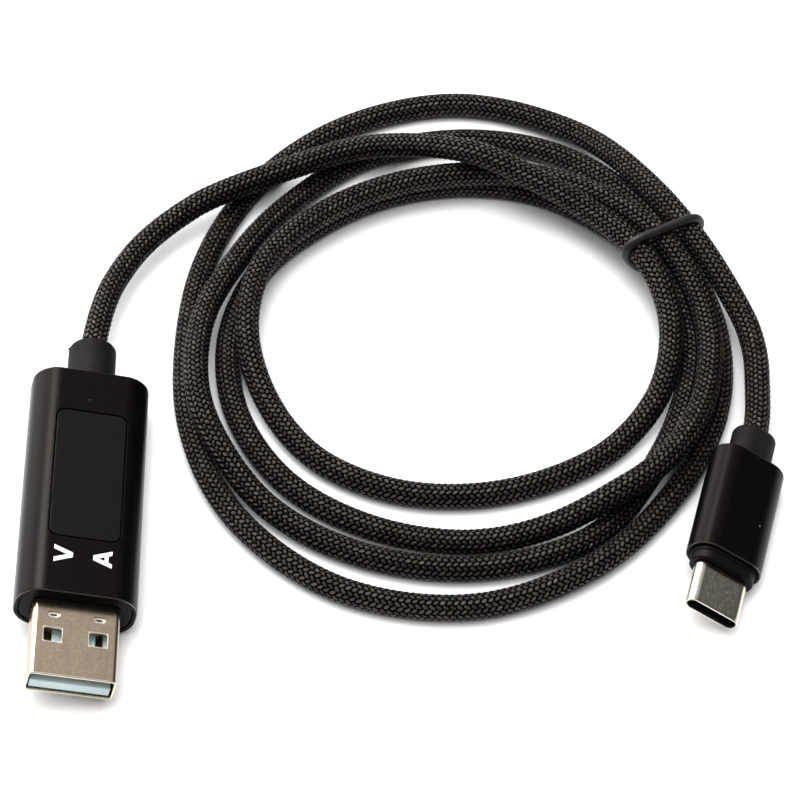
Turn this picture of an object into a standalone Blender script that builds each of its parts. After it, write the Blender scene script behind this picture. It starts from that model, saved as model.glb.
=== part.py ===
"""USB power meter: a USB-A plug housing with a volt and amp display built in, on a braided USB-C cord.

The cord lies in a loose coil of a little over four turns, held by a rubber ring. Metres, +Z up. The meter is at
the origin with its long axis along Y and the USB-A tip towards -Y. The twist of the cord holds the meter and the
USB-C plug leaning about their own long axes.
"""

import math

import bmesh
import bpy
from mathutils import Vector

MM = 0.001
GAP = 0.3  # clearance between neighbours, mm

# Meter housing, mm. Its own frame has X across, Y along and Z through it, with the origin at its middle.
METER_LEAN = 14.4  # degrees about its long axis, right side low
METER_HEIGHT = 5.67
SLEEVE_WIDTH, SLEEVE_DEPTH, SLEEVE_CORNER, SLEEVE_WALL = 16.8, 9.0, 3.8, 0.6
SLEEVE_FRONT, SLEEVE_REAR, END_WALL = -16.8, 21.7, 1.2
CORD_HOLE = 7.6  # in the sleeve's rear wall
WINDOW_WIDTH, WINDOW_LENGTH, WINDOW_THICKNESS, WINDOW_Y = 9.8, 21.6, 1.0, 3.3
WINDOW_CORNER = 1.2
NOSE_WIDTH, NOSE_DEPTH, NOSE_CORNER, NOSE_SET_BACK, NOSE_LENGTH = 15.0, 7.2, 2.9, 0.4, 3.4

# USB-A plug, mm, at the standard's sizes.
SHELL_WIDTH, SHELL_DEPTH, SHELL_SHEET, SHELL_TIP, SHELL_END = 12.0, 4.5, 0.3, -28.7, -9.5
LATCH_HOLE_X, LATCH_HOLE_Y, LATCH_HOLE_SIZE = 3.1, -22.3, (2.5, 2.2)
TONGUE_HALF_WIDTH, TONGUE_HALF_DEPTH, TONGUE_STEP = 5.35, 1.6, -17.0
CONTACT_X, CONTACT_WIDTH = (-3.5, -1.0, 1.0, 3.5), 1.0
CONTACT_SET_BACK = (1.9, 2.9, 2.9, 1.9)  # behind the tongue's tip: the power pair meets the socket first

# USB-C plug, mm, at the standard's sizes. Its frame starts at the face that the shell comes out of.
PLUG_AT = (88.5, -10.7, 4.4)
PLUG_LEAN, PLUG_TURN = 29.0, -15.5
PLUG_WIDTH, PLUG_DEPTH, PLUG_WALL = 11.3, 6.4, 0.5
PLUG_FRONT, PLUG_REAR = 1.8, 19.6
C_RELIEF_END, C_RELIEF_FLOOR, C_FLANGE_DEPTH = 24.8, 21.8, 3.3
C_SHELL_WIDTH, C_SHELL_DEPTH, C_SHELL_SHEET, C_SHELL_TIP = 8.25, 2.4, 0.25, -6.65
C_CONTACTS, C_CONTACT_PITCH = 12, 0.5
C_CONTACT_TIP, C_CONTACT_ROOT, C_CONTACT_BAR = -4.9, -2.0, -1.6

# Cord, mm. Lead and tail are points of its centreline. Between them the coil runs clockwise seen from above,
# and each row is one turn: radius, then height, at 16 directions from the left (-X) round by the back (+Y).
CORD = 3.8
WIRE = 0.9
RELIEF_END, RELIEF_FLOOR = 28.7, 25.0
COIL_CENTRE = (55.0, 34.0)
LEAD = ((0.0, 25.3, 5.7), (0.0, 28.7, 5.7), (0.2, 31.0, 5.7), (0.5, 33.5, 5.6), (1.1, 37.3, 5.4),
        (2.1, 41.2, 5.2), (3.6, 44.9, 5.0), (5.4, 48.3, 4.9), (7.6, 51.3, 4.9), (10.1, 54.0, 4.9),
        (12.6, 56.2, 5.0), (15.4, 58.2, 5.2))
TURNS = (
    ((41.3, 5.5), (37.4, 5.6), (30.5, 8.9), (27.3, 8.2), (27.4, 6.8), (28.5, 6.7), (29.5, 5.0), (29.7, 3.4),
     (29.0, 2.0), (28.5, 1.9), (29.0, 1.9), (30.3, 1.9), (31.6, 1.9), (32.0, 2.4)),
    ((32.8, 4.6), (32.5, 5.5), (30.3, 5.6), (29.1, 5.5), (29.0, 5.5), (30.3, 5.7), (31.3, 6.5), (32.8, 6.7),
     (34.7, 5.3), (36.2, 5.1), (37.4, 5.2), (37.2, 3.4), (37.2, 2.0), (37.4, 1.9), (37.6, 1.9), (36.8, 1.9)),
    ((35.4, 1.9), (33.6, 1.9), (31.3, 1.9), (30.3, 1.9), (30.0, 1.9), (30.1, 1.9), (29.5, 2.9), (30.8, 3.5),
     (32.3, 2.1), (33.2, 1.9), (35.5, 1.9), (39.9, 2.2), (41.5, 2.0), (42.2, 1.9), (42.6, 2.4), (42.0, 5.3)),
    ((39.4, 5.2), (36.8, 4.4), (37.4, 2.1), (38.8, 1.9), (39.2, 1.9), (38.8, 1.9), (36.5, 2.9), (35.0, 3.5),
     (36.4, 2.1), (38.2, 1.9), (40.4, 1.9), (44.4, 2.2), (47.9, 2.0), (48.7, 1.9), (46.9, 1.9), (43.8, 1.9)),
    ((41.6, 1.9), (42.2, 1.9), (44.1, 1.9), (46.1, 1.9), (46.8, 1.9), (43.8, 2.6), (38.0, 6.2), (37.0, 6.7),
     (40.4, 5.0)),
)
FIRST_DIRECTION = 2
TAIL = ((96.2, 30.3, 4.7), (96.5, 27.0, 4.5), (96.4, 24.0, 4.4), (96.2, 20.8, 4.4), (95.9, 17.2, 4.4))
PLUG_ENTRY = (25.2, 22.1)  # the last two points, along the plug's own axis
LEAD_LENGTH, TAIL_LENGTH, JOIN = 31.0, 15.0, 11.0  # uncoiled stretches, and how far on each meets the coil
POINT_SPACING = 2.6
RING_SLOTS, RING_SIDES, TUBE_SIDES = 72, 16, 12

# Rubber ring, mm: it stands across the coil where five strands lie in two layers.
TIE_SECTION, TIE_DIRECTION, TIE_RADIUS = 1.45, 153.4, 32.6
TIE_HALF_WIDTH, TIE_TOP, TIE_POINTS = 7.9, 9.7, 28
COIL_SQUARENESS, TIE_SQUARENESS = 0.55, 0.62  # powers that square off a round section: 1 is round


# ---------------------------------------------------------------- helpers

def clear_scene():
    for thing in list(bpy.data.objects):
        bpy.data.objects.remove(thing, do_unlink=True)


def material(name, colour, roughness, metallic=0.0):
    made = bpy.data.materials.new(name)
    made.use_nodes = True
    shader = made.node_tree.nodes["Principled BSDF"]
    shader.inputs["Base Color"].default_value = (*colour, 1.0)
    shader.inputs["Roughness"].default_value = roughness
    shader.inputs["Metallic"].default_value = metallic
    made.diffuse_color = (*colour, 1.0)
    return made


def frame(name, place, angles):
    """An empty that a group of pieces is built on."""
    made = bpy.data.objects.new(name, None)
    made.location = Vector(place) * MM
    made.rotation_euler = [math.radians(angle) for angle in angles]
    bpy.context.scene.collection.objects.link(made)
    return made


def add_object(name, data, look, parent):
    made = bpy.data.objects.new(name, data)
    bpy.context.scene.collection.objects.link(made)
    if look:
        data.materials.append(look)
    made.parent = parent
    return made


def from_bmesh(name, shape, look, parent):
    bmesh.ops.recalc_face_normals(shape, faces=shape.faces)
    data = bpy.data.meshes.new(name)
    shape.to_mesh(data)
    shape.free()
    return add_object(name, data, look, parent)


def rounded_loop(width, depth, corner, y, steps=6):
    """A rounded rectangle across Y. Every loop has the same count of points, so any two can be joined."""
    corner = min(corner, 0.49 * width, 0.49 * depth)
    points = []
    for quarter, (sx, sz) in enumerate(((1, 1), (-1, 1), (-1, -1), (1, -1))):
        for step in range(steps + 1):
            angle = math.pi / 2 * (quarter + step / steps)
            x = sx * (width / 2 - corner) + corner * math.cos(angle)
            z = sz * (depth / 2 - corner) + corner * math.sin(angle)
            points.append(Vector((x, y, z)) * MM)
    return points


def skin(name, loops, look, parent, ring=False):
    """A body through a row of equal loops. A ring joins the last to the first. Otherwise both ends are capped."""
    shape = bmesh.new()
    rows = [[shape.verts.new(point) for point in loop] for loop in loops]
    pairs = list(zip(rows, rows[1:]))
    if ring:
        pairs.append((rows[-1], rows[0]))
    else:
        shape.faces.new(rows[0])
        shape.faces.new(rows[-1])
    for near, far in pairs:
        for i in range(len(near)):
            j = (i + 1) % len(near)
            shape.faces.new((near[i], near[j], far[j], far[i]))
    return from_bmesh(name, shape, look, parent)


def lofted(name, sections, look, parent, ring=False, steps=6):
    """A body through sections given as width, depth, corner radius and place along Y."""
    return skin(name, [rounded_loop(*s, steps=steps) for s in sections], look, parent, ring)


def squared(turn, power):
    """Cosine and sine with their round path squared off."""
    across, up = math.cos(turn), math.sin(turn)
    return math.copysign(abs(across) ** power, across), math.copysign(abs(up) ** power, up)


def box(name, low, high, look, parent, bevel=0.0):
    shape = bmesh.new()
    bmesh.ops.create_cube(shape, size=1.0)
    for vert in shape.verts:
        for axis in range(3):
            vert.co[axis] = (low[axis] if vert.co[axis] < 0 else high[axis]) * MM
    made = from_bmesh(name, shape, look, parent)
    if bevel:
        edge = made.modifiers.new("edges", "BEVEL")
        edge.width = bevel * MM
        edge.segments = 2
    return made


def outline_prism(name, outline, low, high, axis, look, parent):
    """A flat outline pushed along one axis. The outline's two numbers fill the other axes in order."""
    shape = bmesh.new()
    rows = []
    for along in (low, high):
        row = []
        for a, b in outline:
            place = [a, b]
            place.insert(axis, along)
            row.append(shape.verts.new(Vector(place) * MM))
        rows.append(row)
    shape.faces.new(rows[0])
    shape.faces.new(rows[1])
    for i in range(len(outline)):
        j = (i + 1) % len(outline)
        shape.faces.new((rows[0][i], rows[0][j], rows[1][j], rows[1][i]))
    return from_bmesh(name, shape, look, parent)


def tube(name, points, diameter, look, parent, resolution=2, cyclic=False):
    data = bpy.data.curves.new(name, "CURVE")
    data.dimensions = "3D"
    data.bevel_depth = diameter / 2 * MM
    data.bevel_resolution = resolution
    data.use_fill_caps = True
    line = data.splines.new("POLY")
    line.points.add(len(points) - 1)
    for place, point in zip(line.points, points):
        place.co = (*(Vector(point) * MM), 1.0)
    line.use_cyclic_u = cyclic
    return add_object(name, data, look, parent)


def combine(made, other, operation):
    step = made.modifiers.new(operation.lower(), "BOOLEAN")
    step.operation = operation
    step.solver = "EXACT"
    step.object = other
    other.hide_render = True
    other.display_type = "WIRE"


def smooth_through(points, per_span):
    """A centripetal Catmull-Rom curve through the points."""
    points = [Vector(p) for p in points]
    ends = [2 * points[0] - points[1], *points, 2 * points[-1] - points[-2]]
    curve = []
    for a, b, c, d in zip(ends, ends[1:], ends[2:], ends[3:]):
        t1 = math.sqrt((b - a).length)
        t2 = t1 + math.sqrt((c - b).length)
        t3 = t2 + math.sqrt((d - c).length)
        for step in range(per_span):
            t = t1 + (t2 - t1) * step / per_span
            ab = a.lerp(b, t / t1)
            bc = b.lerp(c, (t - t1) / (t2 - t1))
            cd = c.lerp(d, (t - t2) / (t3 - t2))
            abc = ab.lerp(bc, t / t2)
            bcd = bc.lerp(cd, (t - t1) / (t3 - t1))
            curve.append(abc.lerp(bcd, (t - t1) / (t2 - t1)))
    curve.append(points[-1])
    return curve


# ---------------------------------------------------------------- looks

BLACK_ALUMINIUM = material("black_anodised", (0.02, 0.02, 0.021), 0.38, 0.6)
BLACK_PLASTIC = material("black_plastic", (0.015, 0.015, 0.016), 0.45)
SMOKED = material("smoked_acrylic", (0.03, 0.03, 0.032), 0.12)
NICKEL = material("nickel", (0.62, 0.56, 0.48), 0.28, 1.0)
STEEL = material("stainless", (0.42, 0.39, 0.37), 0.35, 1.0)
PALE_BLUE = material("pale_blue_plastic", (0.55, 0.68, 0.70), 0.4)
GOLD = material("gold", (0.85, 0.65, 0.30), 0.25, 1.0)
SOFT_GREY = material("soft_grey_plastic", (0.045, 0.045, 0.048), 0.6)
RUBBER = material("rubber", (0.03, 0.03, 0.032), 0.5)
JACKET = material("wire_jacket", (0.12, 0.03, 0.03), 0.5)
BRAID = material("braid", (0.03, 0.027, 0.025), 0.7)
BOARD = material("green_board", (0.02, 0.16, 0.08), 0.4)
CERAMIC = material("ceramic", (0.45, 0.36, 0.25), 0.5)
CHIP = material("chip", (0.02, 0.02, 0.022), 0.5)


# ---------------------------------------------------------------- meter

def meter_housing(on):
    w, d, r, t = SLEEVE_WIDTH, SLEEVE_DEPTH, SLEEVE_CORNER, SLEEVE_WALL
    inner = (w - 2 * t, d - 2 * t, r - t)
    sleeve = lofted("meter_sleeve", (
        (w - 0.3, d - 0.3, r - 0.15, SLEEVE_FRONT),
        (w, d, r, SLEEVE_FRONT + 0.15),
        (w, d, r, SLEEVE_REAR - 0.6),
        (w - 0.3, d - 0.3, r - 0.15, SLEEVE_REAR - 0.2),
        (w - 0.9, d - 0.9, r - 0.4, SLEEVE_REAR),
        (CORD_HOLE, CORD_HOLE, CORD_HOLE / 2, SLEEVE_REAR),
        (CORD_HOLE, CORD_HOLE, CORD_HOLE / 2, SLEEVE_REAR - END_WALL),
        (*inner, SLEEVE_REAR - END_WALL),
        (*inner, SLEEVE_FRONT),
    ), BLACK_ALUMINIUM, on, ring=True)
    opening = lofted("window_cutter", (
        (WINDOW_WIDTH + 2 * GAP, WINDOW_LENGTH + 2 * GAP, WINDOW_CORNER + GAP, 0.0),
        (WINDOW_WIDTH + 2 * GAP, WINDOW_LENGTH + 2 * GAP, WINDOW_CORNER + GAP, d),
    ), None, on)
    opening.rotation_euler = (math.pi / 2, 0, 0)
    opening.location = Vector((0, WINDOW_Y, 0)) * MM
    combine(sleeve, opening, "DIFFERENCE")

    top = SLEEVE_DEPTH / 2
    pane = lofted("display_window", (
        (WINDOW_WIDTH, WINDOW_LENGTH, WINDOW_CORNER, top - WINDOW_THICKNESS),
        (WINDOW_WIDTH, WINDOW_LENGTH, WINDOW_CORNER, top),
    ), SMOKED, on)
    pane.rotation_euler = (math.pi / 2, 0, 0)
    pane.location = Vector((0, WINDOW_Y, 0)) * MM

    front = SLEEVE_FRONT + NOSE_SET_BACK
    outside = (NOSE_WIDTH, NOSE_DEPTH, NOSE_CORNER)
    inside = (SHELL_WIDTH + 2 * GAP, SHELL_DEPTH + 2 * GAP, 0.9)
    lofted("nose_insert", (
        (*outside, front),
        (*outside, front + NOSE_LENGTH),
        (*inside, front + NOSE_LENGTH),
        (*inside, front),
    ), BLACK_PLASTIC, on, ring=True)


def meter_relief(on):
    lofted("strain_relief_a", (
        (4.5, 4.5, 2.25, RELIEF_FLOOR),
        (4.5, 4.5, 2.25, RELIEF_END),
        (6.4, 6.4, 3.2, RELIEF_END),
        (6.9, 6.9, 3.45, RELIEF_END - 0.3),
        (6.9, 6.9, 3.45, SLEEVE_REAR - 1.5),
        (11.0, 6.5, 2.4, SLEEVE_REAR - 1.5),
        (11.0, 6.5, 2.4, SLEEVE_REAR - 3.3),
    ), SOFT_GREY, on)


def meter_electronics(on):
    front, rear = -8.0, 15.0
    box("display_module", (-4.7, -7.0, 1.5), (4.7, 13.6, 3.2), CHIP, on, 0.2)
    box("meter_board", (-6.7, front, 0.4), (6.7, rear, 1.2), BOARD, on)
    box("controller_chip", (-2.5, 1.0, -1.0), (2.5, 6.0, 0.1), CHIP, on, 0.15)
    box("shunt_resistor", (-3.2, -6.6, -0.7), (3.2, -3.4, 0.1), CERAMIC, on, 0.1)
    box("regulator_chip", (-5.6, 9.0, -1.2), (-2.2, 12.0, 0.1), CHIP, on, 0.15)
    box("filter_capacitor", (2.6, 9.0, -1.6), (5.2, 12.2, 0.1), CERAMIC, on, 0.2)
    box("output_capacitor", (3.4, -1.6, -1.6), (5.8, 1.6, 0.1), CERAMIC, on, 0.2)
    for number, x in enumerate((-3.0, -1.0, 1.0, 3.0), 1):
        run = ((x, 15.3, 0.8), (x, 16.2, 0.7), (x * 0.8, 17.2, 0.2), (x * 0.7, 18.1, 0.0))
        tube(f"meter_wire_{number}", run, WIRE, JACKET, on)


def usb_a_plug(on):
    w, d, t = SHELL_WIDTH, SHELL_DEPTH, SHELL_SHEET
    shell = lofted("usb_a_shell", (
        (w - 0.2, d - 0.2, 0.6, SHELL_TIP),
        (w, d, 0.7, SHELL_TIP + 0.15),
        (w, d, 0.7, SHELL_END),
        (w - 2 * t, d - 2 * t, 0.4, SHELL_END),
        (w - 2 * t, d - 2 * t, 0.4, SHELL_TIP),
    ), NICKEL, on, ring=True, steps=3)
    across, along = LATCH_HOLE_SIZE
    for number, x in enumerate((-LATCH_HOLE_X, LATCH_HOLE_X), 1):
        low = (x - across / 2, LATCH_HOLE_Y - along / 2, -d)
        high = (x + across / 2, LATCH_HOLE_Y + along / 2, d)
        combine(shell, box(f"latch_cutter_{number}", low, high, None, on), "DIFFERENCE")

    # The tongue fills the lower half of the mouth, and the block behind it fills the whole of it.
    tip, step, back, half = SHELL_TIP + 0.3, TONGUE_STEP, SHELL_END - 0.5, TONGUE_HALF_DEPTH
    side_view = ((tip, -half), (back, -half), (back, half), (step, half), (step, 0.0), (tip, 0.0))
    outline_prism("usb_a_insulator", side_view, -TONGUE_HALF_WIDTH, TONGUE_HALF_WIDTH, 0, PALE_BLUE, on)
    for number, (x, set_back) in enumerate(zip(CONTACT_X, CONTACT_SET_BACK), 1):
        low = (x - CONTACT_WIDTH / 2, tip + set_back, GAP)
        high = (x + CONTACT_WIDTH / 2, step - GAP, GAP + 0.25)
        box(f"usb_a_contact_{number}", low, high, GOLD, on)


# ---------------------------------------------------------------- USB-C plug

def usb_c_plug(on):
    w, d, t = PLUG_WIDTH, PLUG_DEPTH, PLUG_WALL
    r = d / 2
    inner = (w - 2 * t, d - 2 * t, r - t)
    lofted("usb_c_sleeve", (
        (w - 0.3, d - 0.3, r, PLUG_FRONT),
        (w, d, r, PLUG_FRONT + 0.15),
        (w, d, r, PLUG_REAR - 0.3),
        (w - 0.6, d - 0.6, r, PLUG_REAR),
        (*inner, PLUG_REAR),
        (*inner, PLUG_FRONT),
    ), BLACK_ALUMINIUM, on, ring=True)
    lofted("usb_c_nose", (
        (9.2, 4.2, 2.1, 0.0),
        (9.7, 4.8, 2.4, 0.4),
        (9.7, 4.8, 2.4, 5.0),
        (8.85, 3.0, 1.5, 5.0),
        (8.85, 3.0, 1.5, 0.0),
    ), BLACK_PLASTIC, on, ring=True)
    cw, cd, ct = C_SHELL_WIDTH, C_SHELL_DEPTH, C_SHELL_SHEET
    lofted("usb_c_shell", (
        (cw - 0.2, cd - 0.2, cd / 2, C_SHELL_TIP),
        (cw, cd, cd / 2, C_SHELL_TIP + 0.15),
        (cw, cd, cd / 2, 6.0),
        (cw - 2 * ct, cd - 2 * ct, cd / 2, 6.0),
        (cw - 2 * ct, cd - 2 * ct, cd / 2, C_SHELL_TIP),
    ), STEEL, on, ring=True)
    box("usb_c_insulator", (-3.1, -1.2, -0.6), (3.1, 5.6, 0.6), BLACK_PLASTIC, on)
    # Each row of contacts is one comb: a bar across the back, and fingers half a pitch wide.
    wide = C_CONTACT_PITCH / 2
    first = -wide * (C_CONTACTS - 0.5)
    last = first + (C_CONTACTS - 1) * C_CONTACT_PITCH
    comb = [(last + wide, C_CONTACT_BAR), (first, C_CONTACT_BAR)]
    for finger in range(C_CONTACTS):
        x = first + finger * C_CONTACT_PITCH
        comb += [(x, C_CONTACT_TIP), (x + wide, C_CONTACT_TIP)]
        if finger < C_CONTACTS - 1:
            comb += [(x + wide, C_CONTACT_ROOT), (x + C_CONTACT_PITCH, C_CONTACT_ROOT)]
    outline_prism("usb_c_contacts_upper", comb, 0.35, 0.6, 2, GOLD, on)
    outline_prism("usb_c_contacts_lower", comb, -0.6, -0.35, 2, GOLD, on)
    box("usb_c_board", (-4.0, 6.4, -0.4), (4.0, 13.4, 0.4), BOARD, on)
    box("usb_c_resistor", (-0.8, 9.0, 0.7), (0.8, 10.0, 1.2), CHIP, on)
    for number, x in enumerate((-1.8, 1.8), 1):
        run = ((x, 13.7, 0.0), (x, 14.6, 0.0), (x * 0.8, 15.6, 0.0))
        tube(f"usb_c_wire_{number}", run, WIRE, JACKET, on)
    lofted("strain_relief_c", (
        (4.4, 4.4, 2.2, C_RELIEF_FLOOR),
        (4.4, 4.4, 2.2, C_RELIEF_END),
        (6.0, 5.0, 2.5, C_RELIEF_END),
        (6.5, 5.4, 2.7, C_RELIEF_END - 0.3),
        (6.5, 5.4, 2.7, PLUG_REAR + 0.3),
        (9.4, 4.6, 2.3, PLUG_REAR + 0.3),
        (9.4, 4.6, 2.3, PLUG_REAR - C_FLANGE_DEPTH),
    ), SOFT_GREY, on)


# ---------------------------------------------------------------- cord and tie

def cord_line(plug_frame):
    """The whole centreline from meter to plug. It lies no lower than the surface allows."""
    cx, cy = COIL_CENTRE
    points = list(LEAD)
    number = FIRST_DIRECTION
    for turn in TURNS:
        for radius, height in turn:
            angle = math.radians(22.5 * number)
            points.append((cx - radius * math.cos(angle), cy + radius * math.sin(angle), height))
            number += 1
    points += TAIL
    for along in PLUG_ENTRY:
        points.append((plug_frame.matrix_basis @ (Vector((0, along, 0)) * MM)) / MM)
    line = smooth_through(points, 6)
    for point in line:
        point.z = max(point.z, CORD / 2)
    return line


def coil_ring(line, look):
    """The outer shape of the coiled part: at each direction, a rounded section round every strand."""
    cx, cy = COIL_CENTRE
    spans = [[1e9, -1e9, 1e9, -1e9] for _ in range(RING_SLOTS)]
    for near, far in zip(line, line[1:]):
        for share in (0.0, 0.5):
            point = near.lerp(far, share)
            radius = math.hypot(point.x - cx, point.y - cy)
            angle = math.atan2(point.y - cy, cx - point.x)
            slot = round(angle / (2 * math.pi) * RING_SLOTS) % RING_SLOTS
            span = spans[slot]
            span[0] = min(span[0], radius)
            span[1] = max(span[1], radius)
            span[2] = min(span[2], point.z)
            span[3] = max(span[3], point.z)
    loops = []
    for slot in range(RING_SLOTS):
        near = [spans[(slot + step) % RING_SLOTS] for step in (-1, 0, 1)]
        low_r, high_r, low_z, high_z = (sum(s[k] for s in near) / 3 for k in range(4))
        half_width = (high_r - low_r + CORD) / 2
        half_height = (high_z - low_z + CORD) / 2
        middle_r, middle_z = (low_r + high_r) / 2, (low_z + high_z) / 2
        middle_z = max(middle_z, half_height)
        angle = 2 * math.pi * slot / RING_SLOTS
        loop = []
        for side in range(RING_SIDES):
            across, up = squared(2 * math.pi * (side + 0.5) / RING_SIDES, COIL_SQUARENESS)
            radius = middle_r + across * half_width
            height = middle_z + up * half_height
            place = (cx - radius * math.cos(angle), cy + radius * math.sin(angle), height)
            loop.append(Vector(place) * MM)
        loops.append(loop)
    return skin("cord_coil", loops, look, None, ring=True)


def solid_tube(name, points, diameter):
    """A tube as a mesh with flat caps, for a Boolean."""
    shape = bmesh.new()
    rows = []
    for i, point in enumerate(points):
        ahead = points[min(i + 1, len(points) - 1)] - points[max(i - 1, 0)]
        side = ahead.cross(Vector((0, 0, 1))).normalized()
        up = side.cross(ahead).normalized()
        row = []
        for step in range(TUBE_SIDES):
            turn = 2 * math.pi * step / TUBE_SIDES
            offset = side * math.cos(turn) + up * math.sin(turn)
            row.append(shape.verts.new((point + offset * diameter / 2) * MM))
        rows.append(row)
    shape.faces.new(rows[0])
    shape.faces.new(rows[-1])
    for near, far in zip(rows, rows[1:]):
        for i in range(TUBE_SIDES):
            j = (i + 1) % TUBE_SIDES
            shape.faces.new((near[i], near[j], far[j], far[i]))
    return from_bmesh(name, shape, None, None)


def thinned(points):
    kept = [points[0]]
    for point in points[1:-1]:
        if (point - kept[-1]).length >= POINT_SPACING:
            kept.append(point)
    kept.append(points[-1])
    return kept


def index_at(line, distance):
    """The index of the first point at least this far along the line."""
    run = 0.0
    for i, (near, far) in enumerate(zip(line, line[1:])):
        if run >= distance:
            return i
        run += (far - near).length
    return len(line) - 1


def shortened(points, gap):
    """The same points with the last moved back by the gap."""
    points = list(points)
    points[-1] = points[-1] - (points[-1] - points[-2]).normalized() * gap
    return points


def cord(plug_frame):
    line = cord_line(plug_frame)
    last = len(line) - 1
    start, join_in = index_at(line, LEAD_LENGTH), index_at(line, LEAD_LENGTH + JOIN)
    back = line[::-1]
    end, join_out = last - index_at(back, TAIL_LENGTH), last - index_at(back, TAIL_LENGTH + JOIN)
    ring = coil_ring(line[join_in:join_out + 1], BRAID)
    for name, stretch in (("stub_in", line[start:join_in + 2]), ("stub_out", line[join_out - 2:end + 1])):
        combine(ring, solid_tube(name, stretch, CORD - 0.05), "UNION")
    for name, stretch in (("cord_lead_meter", line[:start + 1]), ("cord_lead_plug", line[end:][::-1])):
        tube(name, shortened(thinned(stretch), GAP), CORD, BRAID, None)


def tie_ring():
    cx, cy = COIL_CENTRE
    angle = math.radians(TIE_DIRECTION)
    out = Vector((-math.cos(angle), math.sin(angle), 0))
    low = TIE_SECTION / 2
    middle = Vector((cx, cy, (low + TIE_TOP) / 2)) + out * TIE_RADIUS
    points = []
    for step in range(TIE_POINTS):
        across, up = squared(2 * math.pi * step / TIE_POINTS, TIE_SQUARENESS)
        rise = Vector((0, 0, up * (TIE_TOP - low) / 2))
        points.append(middle + out * across * TIE_HALF_WIDTH + rise)
    tube("tie_ring", points, TIE_SECTION, RUBBER, None, cyclic=True)


# ---------------------------------------------------------------- assembly

clear_scene()
meter = frame("meter_frame", (0, 0, METER_HEIGHT), (0, METER_LEAN, 0))
plug = frame("plug_frame", PLUG_AT, (0, PLUG_LEAN, PLUG_TURN))
meter_housing(meter)
meter_relief(meter)
meter_electronics(meter)
usb_a_plug(meter)
usb_c_plug(plug)
cord(plug)
tie_ring()
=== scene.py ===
"""USB power meter on a braided USB-C cord: the finish, the woven cord and the light.

A black housing with a smoked display carries the USB-A plug. The cord lies in a loose coil that a rubber
ring holds, and it ends in a USB-C plug.
"""

import math

import bmesh
import bpy
import numpy as np
from mathutils import Matrix, Vector


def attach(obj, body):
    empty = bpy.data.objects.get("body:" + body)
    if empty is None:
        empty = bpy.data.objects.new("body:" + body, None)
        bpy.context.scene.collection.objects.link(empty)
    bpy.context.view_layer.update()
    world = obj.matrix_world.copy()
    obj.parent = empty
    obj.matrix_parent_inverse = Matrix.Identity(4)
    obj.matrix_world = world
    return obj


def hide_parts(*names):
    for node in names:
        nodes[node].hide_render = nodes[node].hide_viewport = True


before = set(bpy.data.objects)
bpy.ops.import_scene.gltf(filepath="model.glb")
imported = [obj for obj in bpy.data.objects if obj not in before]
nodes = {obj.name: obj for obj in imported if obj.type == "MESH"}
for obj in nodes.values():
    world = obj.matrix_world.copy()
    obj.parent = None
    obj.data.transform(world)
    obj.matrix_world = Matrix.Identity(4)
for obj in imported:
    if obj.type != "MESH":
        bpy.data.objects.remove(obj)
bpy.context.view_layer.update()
MM = 0.001


# ------------------------------------------------------------------ camera, floor and light
# A long lens looks down on the table from the front. The table is a plain pale sheet in a white tent that is
# brightest high up behind the object. A broad and a small light above give soft shadows, one far light only
# sparkles in the gloss, and one stands low on the left like a window.

CAMERA_PLACE, CAMERA_TILT, CAMERA_TURN, CAMERA_LENS = (42.0, -245.4, 346.6), 37.83, -0.56, 135.3
TABLE_HALF, TABLE_DROP, TABLE_WHITE = 2.0, 0.00002, 0.86
TENT_AXIS, TENT_START, TENT_FULL, TENT_DIM, TENT_BRIGHT = (-0.12, 0.34, 0.93), 0.35, 1.15, 0.06, 0.95
TENT_COLOUR = (1.0, 0.985, 0.965, 1.0)

scene = bpy.context.scene
scene.view_settings.view_transform = "Standard"

camera = bpy.data.objects.new("camera", bpy.data.cameras.new("camera"))
camera.location = Vector(CAMERA_PLACE) * MM
camera.rotation_euler = (math.radians(CAMERA_TILT), 0, math.radians(CAMERA_TURN))
camera.data.lens = CAMERA_LENS
camera.data.sensor_width = 36.0
camera.data.clip_start = 0.01
scene.collection.objects.link(camera)
scene.camera = camera

table = bpy.data.meshes.new("table")
table.from_pydata([(x * TABLE_HALF, y * TABLE_HALF, 0) for x, y in ((-1, -1), (1, -1), (1, 1), (-1, 1))],
                  [], [(0, 1, 2, 3)])
table = bpy.data.objects.new("table", table)
table.location.z = -TABLE_DROP
scene.collection.objects.link(table)
sheet = bpy.data.materials.new("white_sheet")
sheet.use_nodes = True
paper = sheet.node_tree.nodes["Principled BSDF"].inputs
paper["Base Color"].default_value = (TABLE_WHITE, TABLE_WHITE, TABLE_WHITE, 1)
paper["Roughness"].default_value = 0.9
paper["Specular IOR Level"].default_value = 0.1
table.data.materials.append(sheet)

room = bpy.data.worlds.new("room")
room.use_nodes = True
tent, background = room.node_tree, room.node_tree.nodes["Background"]
direction = tent.nodes.new("ShaderNodeTexCoord")
height = tent.nodes.new("ShaderNodeVectorMath")
height.operation = "DOT_PRODUCT"
height.inputs[1].default_value = Vector(TENT_AXIS).normalized()
towards_top = tent.nodes.new("ShaderNodeMapRange")
towards_top.interpolation_type = "SMOOTHSTEP"
towards_top.inputs["From Min"].default_value = TENT_START
towards_top.inputs["From Max"].default_value = TENT_FULL
towards_top.inputs["To Min"].default_value = TENT_DIM
towards_top.inputs["To Max"].default_value = TENT_BRIGHT
tent.links.new(direction.outputs["Generated"], height.inputs[0])
tent.links.new(height.outputs["Value"], towards_top.inputs["Value"])
tent.links.new(towards_top.outputs["Result"], background.inputs["Strength"])
background.inputs["Color"].default_value = TENT_COLOUR
scene.world = room


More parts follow.
